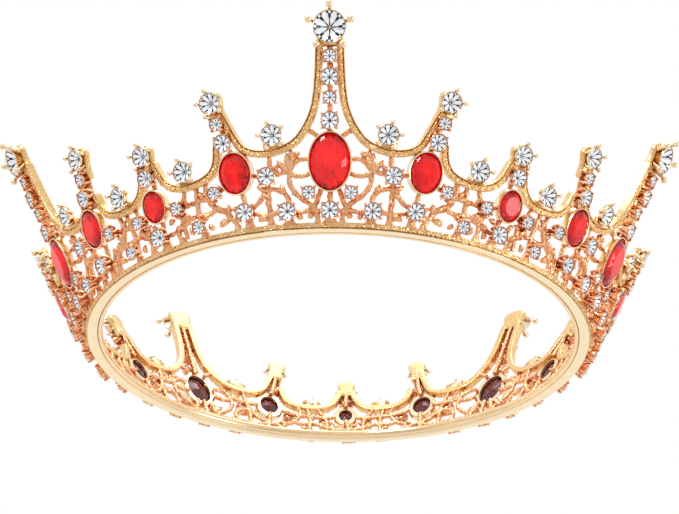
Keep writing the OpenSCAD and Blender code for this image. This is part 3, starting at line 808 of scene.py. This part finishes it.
def make_cups(name, places, d, claws=False):
    build = Build()
    for t, s, lean in everywhere(places):
        m = place_matrix(t, s, lean)
        add_cup(build, m, d)
        r, g = d / 2 + CUP_WALL, girdle_n(d)
        if claws:
            for i in range(5):
                add_claw(build, m, d, 90 + i * 72)
            continue
        for i in range(4):
            way = 45 + i * 90 + random.uniform(-10, 10)
            bar = claw_path((0.72 * r, SEAT + 0.1), (r + 0.1, SEAT + 0.45 * (g - SEAT)),
                            (r + 0.12, g - 0.25), 7)
            hook = [(r + 0.14, g + 0.08), (r - 0.02, g + 0.26), (r - 0.36, g + 0.3)]
            spine = np.vstack([bar, hook])
            add_wire(build, m, way, spine, [0.42, 0.4, 0.38, 0.36, 0.36, 0.35, 0.34, 0.3, 0.25, 0.16], 8)
            reach = d / 2 + random.uniform(0.55, 0.9)
            spur = claw_path((r * 0.9, g - 0.9), (r + 0.2, g - 0.6), (reach, g - random.uniform(0.1, 0.4)), 5)
            add_wire(build, m, way, spur, [0.4, 0.38, 0.33, 0.27, 0.2], 8)
    mesh = build.mesh(name)
    shade(mesh, 40)
    plating = GOLD_SMOOTH if claws else GOLD_CUP
    finish_piece(add_object(name + "_work", mesh, [plating]), "polished_gold", name)


def oval_ring(w, l, n, steps):
    a = np.arange(steps) * 2 * math.pi / steps
    return np.stack([w / 2 * np.cos(a), l / 2 * np.sin(a), np.full(steps, n)], -1)


BEZEL_WALL = 0.4
BEZEL_TOP = SEAT + 2.2


def make_bezels(name, places, w, l):
    """Open-backed oval settings with a thin burnished lip."""
    steps = 72
    rows = [(-2.4, SEAT + 0.02), (-2.0, SEAT), (2 * BEZEL_WALL - 0.3, SEAT), (2 * BEZEL_WALL, SEAT + 0.25),
            (2 * BEZEL_WALL, BEZEL_TOP - 0.3), (2 * BEZEL_WALL - 0.12, BEZEL_TOP - 0.05),
            (0.45, BEZEL_TOP), (0.06, BEZEL_TOP - 0.08), (0.0, BEZEL_TOP - 0.35), (0.0, SEAT + 1.1),
            (-2.4, SEAT + 0.9)]
    build = Build()
    for t, s, _ in everywhere([(*p, 0) for p in places]):
        pts = np.array([oval_ring(w + grow, l + grow, n, steps) for grow, n in rows])
        build.add(moved(pts, place_matrix(t, s)), grid_faces(len(rows), steps, closed_rows=True))
    mesh = build.mesh(name)
    shade(mesh, 40)
    finish_piece(add_object(name + "_work", mesh, [GOLD_SMOOTH]), "polished_gold", name)


# ---- Stones ----------------------------------------------------------------------------


def cut_stone(rows, sides, culet_n):
    """Facets between rings of points. Each row is (x scale, y scale, height, turned half a step)."""
    verts, faces = [], []
    a0 = np.arange(sides) * 2 * math.pi / sides
    for sx, sy, n, half in rows:
        a = a0 + (math.pi / sides if half else 0)
        verts.append(np.stack([sx * np.cos(a), sy * np.sin(a), np.full(sides, n)], -1))
    for i in range(len(rows) - 1):
        lo, hi = i * sides, (i + 1) * sides
        turned = rows[i + 1][3] - rows[i][3]
        for j in range(sides):
            k = (j + 1) % sides
            if turned == 0:
                faces.append((lo + j, lo + k, hi + k, hi + j))
            elif turned > 0:
                faces += [(lo + j, lo + k, hi + j), (lo + k, hi + k, hi + j)]
            else:
                faces += [(lo + j, lo + k, hi + k), (lo + j, hi + k, hi + j)]
    top = (len(rows) - 1) * sides
    faces.append(tuple(top + j for j in range(sides)))
    verts = np.vstack(verts + [np.array([[0, 0, culet_n]])])
    tip = len(verts) - 1
    faces += [(tip, (j + 1) % sides, j) for j in range(sides)]
    return verts, faces


STAR = 8


def star_pavilion(radius, n_top, n_culet):
    """The foiled underside of a round stone, with painted reflections: white kites between eight dark arrows.
    """
    def at(r, deg, sink=0.0):
        a = math.radians(deg)
        return (r * radius * math.cos(a), r * radius * math.sin(a),
                n_culet + (n_top - n_culet) * min(1.0, r) - sink * radius)

    verts, faces, painted_facet_tones = [], [], []

    # Each facet's tone is a painted reflection: the black and white sparkle a cut stone throws back.
    def facet(points, tone):
        faces.append(tuple(range(len(verts), len(verts) + len(points))))
        verts.extend(points)
        painted_facet_tones.append(min(1.0, max(0.0, tone)))

    step = 360 / STAR
    for k in range(STAR):
        a = k * step
        long_arm = random.uniform(0.0, 0.12) if k % 2 else random.uniform(0.0, 0.3)
        facet([at(0, a), at(0.13, a - step / 2), at(0.13, a + step / 2)], random.choice((0.0, 0.1, 0.5)))
        facet([at(0.13, a - step / 2), at(0.5, a - 3), at(0.5, a + 3), at(0.13, a + step / 2)], 0.0)
        facet([at(0.5, a - 3), at(0.64, a - 8), at(0.84, a - 7), at(0.84, a + 7), at(0.64, a + 8),
               at(0.5, a + 3)], long_arm)
        for side in (1, -1):
            order = 1 if side > 0 else -1
            kite = [at(0.13, a + side * step / 2), at(0.5, a + side * 3), at(0.64, a + side * 8),
                    at(0.84, a + side * 7), at(0.84, a + side * step / 2), at(0.5, a + side * step / 2, 0.04)]
            facet(kite[::-order], random.choice((1.0, 0.95, 0.9, 0.85, 0.7, 0.5)))
        cells = (-step / 2, -13, -5, 5, 13, step / 2)
        for i in range(5):
            u, v = a + cells[i], a + cells[i + 1]
            tone = (0.95, 0.12, 0.8, 0.2, 0.7)[i] + random.uniform(-0.2, 0.15)
            facet([at(0.84, u), at(1.0, u), at(1.0, v), at(0.84, v)], tone)
    return np.array(verts), faces, painted_facet_tones


def oval_pavilion(rx, ry, n_top, n_culet, sides):
    """The foiled underside of an oval stone: rim facets, a belt of kites and a broad star, painted lighter on
    the upper side and darker below.
    """
    a = np.arange(2 * sides) * math.pi / sides
    b = np.arange(sides) * 2 * math.pi / sides + math.pi / sides
    verts = [np.stack([rx * np.cos(a), ry * np.sin(a), np.full(2 * sides, n_top)], -1)]
    for k, ang in ((0.66, b), (0.36, b - math.pi / sides)):
        verts.append(np.stack([rx * k * np.cos(ang), ry * k * np.sin(ang),
                               np.full(sides, n_culet + (n_top - n_culet) * k * 0.9)], -1))
    verts = np.vstack(verts + [np.array([[0, 0, n_culet]])])
    rim, belt, heart, tip = 0, 2 * sides, 3 * sides, 4 * sides
    faces, painted_facet_tones = [], []
    for j in range(sides):
        k = (j + 1) % sides
        r0, r1, r2 = rim + 2 * j, rim + 2 * j + 1, rim + (2 * j + 2) % (2 * sides)
        # Facets on the upper side get painted light, those below painted shade with a random spread.
        high = verts[belt + j][1] > 0
        faces += [(r0, r1, belt + j), (r1, r2, belt + j), (belt + j, r2, belt + k),
                  (heart + j, belt + j, heart + k),
                  (heart + k, belt + j, belt + k), (heart + j, heart + k, tip)]
        painted_shade_tone = random.uniform(0.0, 0.35)
        painted_facet_tones += [random.uniform(0.15, 0.6), random.uniform(0.1, 0.5), random.uniform(0.3, 0.7),
                  0.75 if high else painted_shade_tone + 0.2, random.uniform(0.4, 0.8), 0.95 if high else painted_shade_tone + 0.45]
    return verts, faces, painted_facet_tones


def make_stones(name, places, size, sides, glass, foil_mat, back_mat, round_stone):
    """Faceted stones of one size, each with clear glass over a foiled underside."""
    w, l = size
    build = Build()
    painted_facet_tones = []
    if round_stone:
        g = girdle_n(w)
        low, crown = 0.36 * w - 0.06, 0.14 * w + 0.2
        table = 0.6
        swell = 0.06
    else:
        g = SEAT + 1.55
        low, crown = g - SEAT - 0.1, 0.115 * w + 0.55
        table = 0.6
        swell = 0.0
    for t, s, lean in everywhere(places):
        m = place_matrix(t, s, lean)
        r, q = w / 2 + swell, l / 2 + swell
        rows = [(r * 0.985, q * 0.985, g - 0.1, 0), (r, q, g + 0.12, 0),
                (r * 0.82, q * 0.82, g + 0.62 * crown, 1), (r * table, q * table, g + crown, 0)]
        verts, faces = cut_stone(rows, sides, g - low)
        build.add(moved(verts, m), faces, 0)
        painted_facet_tones += [0.5] * len(faces)
        if round_stone:
            verts, faces, facet_painted_light = star_pavilion(r * 0.99, g - 0.06, g - low + 0.06)
        else:
            verts, faces, facet_painted_light = oval_pavilion(r * 0.99, q * 0.99, g - 0.02, g - low + 0.06, sides // 2)
        build.add(moved(verts, m), faces, 1)
        painted_facet_tones += facet_painted_light
        verts = verts + np.array([0, 0, -0.03])
        build.add(moved(verts, m), [f[::-1] for f in faces], 2)
        painted_facet_tones += facet_painted_light
    mesh = build.mesh(name)
    # The tone attribute holds each facet's painted reflection or painted light and shade; the back copy
    # repeats the same painted tones.
    mesh.attributes.new("tone", "FLOAT", "FACE").data.foreach_set("value", painted_facet_tones)
    ob = add_object(name + "_work", mesh, [glass, foil_mat, back_mat])
    finish_piece(ob, "clear_glass" if round_stone else "red_glass", name)


def make_settings_and_stones():
    round_rows = [("tip_%s_tall", TIP_TALL, 7.6, True), ("tip_%s_middle", TIP_MID, 5.1, True),
                  ("tip_%s_low", TIP_LOW, 4.8, True), ("dip_%s_tall", DIP_TALL, 4.9, True),
                  ("dip_%s_low", DIP_LOW, 4.9, True), ("column_%s_large", COLUMN_LARGE, 4.1, False),
                  ("column_%s_small", COLUMN_SMALL, 3.0, False), ("foot_%s_large", FOOT_LARGE, 4.1, False),
                  ("foot_%s_small", FOOT_SMALL, 3.0, False), ("side_%s_large", SIDE_LARGE, 4.1, False),
                  ("side_%s_small", SIDE_SMALL, 3.0, False)]
    for label, places, d, claws in round_rows:
        make_cups(label % "cups", places, d, claws)
        make_stones(label % "crystals", places, (d, d), 16, CRYSTAL, CRYSTAL_FOIL, CRYSTAL_FOIL, True)
    ovals = [("tall", [(0, 16.6)], 10, 14), ("middle", [(17.7, 15.5), (-17.7, 15.5)], 8, 10),
             ("low", [(36, 12.6)], 6.5, 8)]
    for label, places, w, l in ovals:
        make_bezels("bezels_" + label, places, w, l)
        make_stones("rubies_" + label, [(*p, 0) for p in places], (w, l), 16, RUBY, RUBY_FOIL,
                    RUBY_BACK, False)


# ---- Stage, light and camera -----------------------------------------------------------


def make_stage():
    """A pale floor that is seen from above only, and soft studio light."""
    mat, nodes, links, bsdf = new_material("floor")
    speck = noise(nodes, 30.0, 3.0)
    tone = ramp(nodes, [(0.3, (0.90, 0.90, 0.90)), (0.7, (0.94, 0.94, 0.94))])
    links.new(speck.outputs["Fac"], tone.inputs["Fac"])
    links.new(tone.outputs["Color"], bsdf.inputs["Base Color"])
    bsdf.inputs["Roughness"].default_value = 0.55
    side = nodes.new("ShaderNodeNewGeometry")
    clear = nodes.new("ShaderNodeBsdfTransparent")
    mix = nodes.new("ShaderNodeMixShader")
    links.new(side.outputs["Backfacing"], mix.inputs[0])
    links.new(bsdf.outputs[0], mix.inputs[1])
    links.new(clear.outputs[0], mix.inputs[2])
    links.new(mix.outputs[0], nodes["Material Output"].inputs["Surface"])
    mesh = bpy.data.meshes.new("floor")
    half = 3.0
    mesh.from_pydata([(-half, -half, 0), (half, -half, 0), (half, half, 0), (-half, half, 0)], [],
                     [(0, 1, 2, 3)])
    floor = add_object("floor", mesh, [mat])
    floor.location.z = CAD_BOX[0][2] - 0.0002
    floor.visible_diffuse = floor.visible_glossy = floor.visible_shadow = False

    world = bpy.data.worlds.new("studio")
    bpy.context.scene.world = world
    world.use_nodes = True
    nodes, links = world.node_tree.nodes, world.node_tree.links
    back = nodes["Background"]
    coords = nodes.new("ShaderNodeTexCoord")
    front = nodes.new("ShaderNodeVectorMath")
    front.operation = "DOT_PRODUCT"
    front.inputs[1].default_value = (0.0, -0.88, -0.47)
    links.new(coords.outputs["Generated"], front.inputs[0])
    facing = nodes.new("ShaderNodeMapRange")
    facing.inputs["From Min"].default_value = -1.0
    facing.inputs["From Max"].default_value = 1.0
    links.new(front.outputs["Value"], facing.inputs["Value"])
    sky = ramp(nodes, [(0.0, (0.95, 0.93, 0.90)), (0.35, (1.0, 1.0, 1.0)), (0.6, (0.75, 0.75, 0.76)),
                       (0.8, (0.95, 0.95, 0.95)), (0.9, (0.5, 0.5, 0.52)), (1.0, (0.85, 0.85, 0.86))])
    links.new(facing.outputs["Result"], sky.inputs["Fac"])
    seen = nodes.new("ShaderNodeLightPath")
    pick = nodes.new("ShaderNodeMix")
    pick.data_type = "RGBA"
    links.new(seen.outputs["Is Camera Ray"], pick.inputs["Factor"])
    links.new(sky.outputs["Color"], pick.inputs["A"])
    pick.inputs["B"].default_value = (1, 1, 1, 1)
    links.new(pick.outputs["Result"], back.inputs["Color"])
    back.inputs["Strength"].default_value = 1.0
    for name, at, size, watts in (("key", (-0.45, -0.8, 0.75), 0.35, 5.0),
                                  ("fill", (0.9, -0.4, -0.2), 0.4, 2.0),
                                  ("top", (0.1, 0.2, 1.0), 0.6, 3.0)):
        lamp = bpy.data.lights.new(name, "AREA")
        lamp.size = size
        lamp.energy = watts
        ob = bpy.data.objects.new(name, lamp)
        ob.matrix_world = (Matrix.Translation(at)
                           @ (-Vector(at)).to_track_quat("-Z", "Y").to_matrix().to_4x4())
        bpy.context.scene.collection.objects.link(ob)
    bpy.context.scene.view_settings.view_transform = "Standard"


def make_camera():
    """Looks up at the crown from in front of it and below its foot."""
    rise, turn = math.radians(24.96), math.radians(2.01)
    tilt, roll = math.radians(2.62), math.radians(-0.85)
    distance = 0.532
    cam = bpy.data.cameras.new("camera")
    cam.lens = 103.6
    cam.sensor_width = 36.0
    cam.clip_start = 0.01
    cam.dof.use_dof = False
    ahead = Vector((0, math.cos(rise), math.sin(rise)))
    right, up = Vector((1, 0, 0)), Vector((0, -math.sin(rise), math.cos(rise)))
    up2 = up * math.cos(tilt) - ahead * math.sin(tilt)
    ahead2 = up * math.sin(tilt) + ahead * math.cos(tilt)
    right3 = right * math.cos(roll) - up2 * math.sin(roll)
    up3 = right * math.sin(roll) + up2 * math.cos(roll)
    axes = Matrix((right3, up3, -ahead2)).transposed().to_4x4()
    ob = bpy.data.objects.new("camera", cam)
    ob.matrix_world = (Matrix.Rotation(turn, 4, "Z") @ Matrix.Translation(-ahead * distance) @ axes)
    bpy.context.scene.collection.objects.link(ob)
    bpy.context.scene.camera = ob


make_camera()
make_castings()
make_border()
make_hoop()
make_settings_and_stones()
make_stage()
